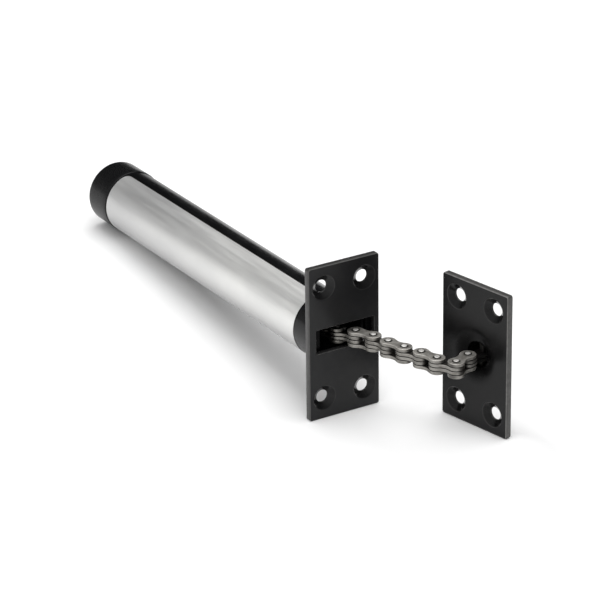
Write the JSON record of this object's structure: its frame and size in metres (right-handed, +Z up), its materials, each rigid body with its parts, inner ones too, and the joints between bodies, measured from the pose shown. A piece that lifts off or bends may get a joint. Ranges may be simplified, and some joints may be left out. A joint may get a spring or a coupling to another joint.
{
  "type": "concealed door closer",
  "caption": "Concealed chain-type door closer: spring tube with rear cap and label, slotted face plate with countersunk holes, leaf chain and anchor plate.",
  "frame": {"origin": "on the tube's axis, in the plane of the face plate's back, which seats on the door's edge", "axes": "+X along the tube, out of the face plate's front; +Z up along the long side of both plates, as fitted in a door; +Y to the left of +X"},
  "size_m": [0.2445, 0.0584, 0.064],
  "materials": {
    "black_coat": "satin black powder coat, fine grain",
    "tube_coat": "semi-gloss black enamel",
    "label_foil": "satin silver foil, bare",
    "black_plastic": "moulded, satin",
    "chain_steel": "tumbled grey steel",
    "rivet_steel": "bright rivet ends",
    "zinc_steel": "zinc plated, passivated",
    "spring_steel": "oiled spring wire"
  },
  "bodies": {
    "case": {"face_plate": "black_coat", "case_tube": "tube_coat", "case_label": "label_foil", "rear_cap": "black_plastic", "chain_guide": "black_plastic", "thrust_washer": "zinc_steel", "retaining_ring": "spring_steel", "return_spring": "spring_steel"},
    "plunger": {"draw_rod": "zinc_steel", "rod_fork": "zinc_steel", "fork_pin": "rivet_steel", "spring_seat": "zinc_steel", "adjuster_nut": "zinc_steel", "lock_nut": "zinc_steel"},
    "link_01": {"chain_link_01": "chain_steel"},
    "link_02": {"chain_link_02": "chain_steel", "chain_pins_02": "rivet_steel"},
    "link_03": {"chain_link_03": "chain_steel"},
    "link_04": {"chain_link_04": "chain_steel", "chain_pins_04": "rivet_steel"},
    "link_05": {"chain_link_05": "chain_steel"},
    "link_06": {"chain_link_06": "chain_steel", "chain_pins_06": "rivet_steel"},
    "link_07": {"chain_link_07": "chain_steel"},
    "link_08": {"chain_link_08": "chain_steel", "chain_pins_08": "rivet_steel"},
    "link_09": {"chain_link_09": "chain_steel"},
    "link_10": {"chain_link_10": "chain_steel", "chain_pins_10": "rivet_steel"},
    "link_11": {"chain_link_11": "chain_steel"},
    "link_12": {"chain_link_12": "chain_steel", "chain_pins_12": "rivet_steel"},
    "link_13": {"chain_link_13": "chain_steel"},
    "link_14": {"chain_link_14": "chain_steel", "chain_pins_14": "rivet_steel"},
    "link_15": {"chain_link_15": "chain_steel"},
    "link_16": {"chain_link_16": "chain_steel", "chain_pins_16": "rivet_steel"},
    "link_17": {"chain_link_17": "chain_steel"},
    "anchor": {"anchor_plate": "black_coat", "anchor_pin": "rivet_steel"}
  },
  "joints": [
    {"name": "plunger_slide", "type": "slide", "parent": "case", "child": "plunger", "axis": [1, 0, 0], "range_m": [0, 0.045], "stiffness_N_per_m": 900, "springref_m": -0.03, "deforming": ["return_spring"]},
    {"name": "link_01_hinge", "type": "hinge", "parent": "plunger", "child": "link_01", "pos_m": [-0.0662, 0, 0], "axis": [0, 0, 1], "range_deg": [-1, 1]},
    {"name": "link_02_hinge", "type": "hinge", "parent": "link_01", "child": "link_02", "pos_m": [-0.0582, 0, 0], "axis": [0, 0, 1], "range_deg": [-1, 1]},
    {"name": "link_03_hinge", "type": "hinge", "parent": "link_02", "child": "link_03", "pos_m": [-0.0502, 0, 0], "axis": [0, 0, 1], "range_deg": [-1, 1]},
    {"name": "link_04_hinge", "type": "hinge", "parent": "link_03", "child": "link_04", "pos_m": [-0.0422, 0, 0], "axis": [0, 0, 1], "range_deg": [-1, 1]},
    {"name": "link_05_hinge", "type": "hinge", "parent": "link_04", "child": "link_05", "pos_m": [-0.0342, 0, 0], "axis": [0, 0, 1], "range_deg": [-1, 1]},
    {"name": "link_06_hinge", "type": "hinge", "parent": "link_05", "child": "link_06", "pos_m": [-0.0262, 0, 0], "axis": [0, 0, 1], "range_deg": [-1, 1]},
    {"name": "link_07_hinge", "type": "hinge", "parent": "link_06", "child": "link_07", "pos_m": [-0.0182, 0, 0], "axis": [0, 0, 1], "range_deg": [-1, 1]},
    {"name": "link_08_hinge", "type": "hinge", "parent": "link_07", "child": "link_08", "pos_m": [-0.0102, 0, 0], "axis": [0, 0, 1], "range_deg": [-3, 3]},
    {"name": "link_09_hinge", "type": "hinge", "parent": "link_08", "child": "link_09", "pos_m": [-0.0022, 0, 0], "axis": [0, 0, 1], "range_deg": [-28, 20]},
    {"name": "link_10_hinge", "type": "hinge", "parent": "link_09", "child": "link_10", "pos_m": [0.00481, 0.00385, 0], "axis": [0, 0, 1], "range_deg": [-28, 26]},
    {"name": "link_11_hinge", "type": "hinge", "parent": "link_10", "child": "link_11", "pos_m": [0.01207, 0.00722, 0], "axis": [0, 0, 1], "range_deg": [-26, 26]},
    {"name": "link_12_hinge", "type": "hinge", "parent": "link_11", "child": "link_12", "pos_m": [0.01987, 0.00899, 0], "axis": [0, 0, 1], "range_deg": [-26, 22]},
    {"name": "link_13_hinge", "type": "hinge", "parent": "link_12", "child": "link_13", "pos_m": [0.02755, 0.01121, 0], "axis": [0, 0, 1], "range_deg": [-26, 22]},
    {"name": "link_14_hinge", "type": "hinge", "parent": "link_13", "child": "link_14", "pos_m": [0.03501, 0.01411, 0], "axis": [0, 0, 1], "range_deg": [-26, 9]},
    {"name": "link_15_hinge", "type": "hinge", "parent": "link_14", "child": "link_15", "pos_m": [0.04277, 0.01605, 0], "axis": [0, 0, 1], "range_deg": [-26, 9]},
    {"name": "link_16_hinge", "type": "hinge", "parent": "link_15", "child": "link_16", "pos_m": [0.04966, 0.02013, 0], "axis": [0, 0, 1], "range_deg": [-81.5, 9]},
    {"name": "link_17_hinge", "type": "hinge", "parent": "link_16", "child": "link_17", "pos_m": [0.04664, 0.02753, 0], "axis": [0, 0, 1], "range_deg": [-28, 9]},
    {"name": "anchor_hinge", "type": "hinge", "parent": "link_17", "child": "anchor", "pos_m": [0.04511, 0.03539, 0], "axis": [0, 0, 1], "range_deg": [-30, 9]}
  ]
}
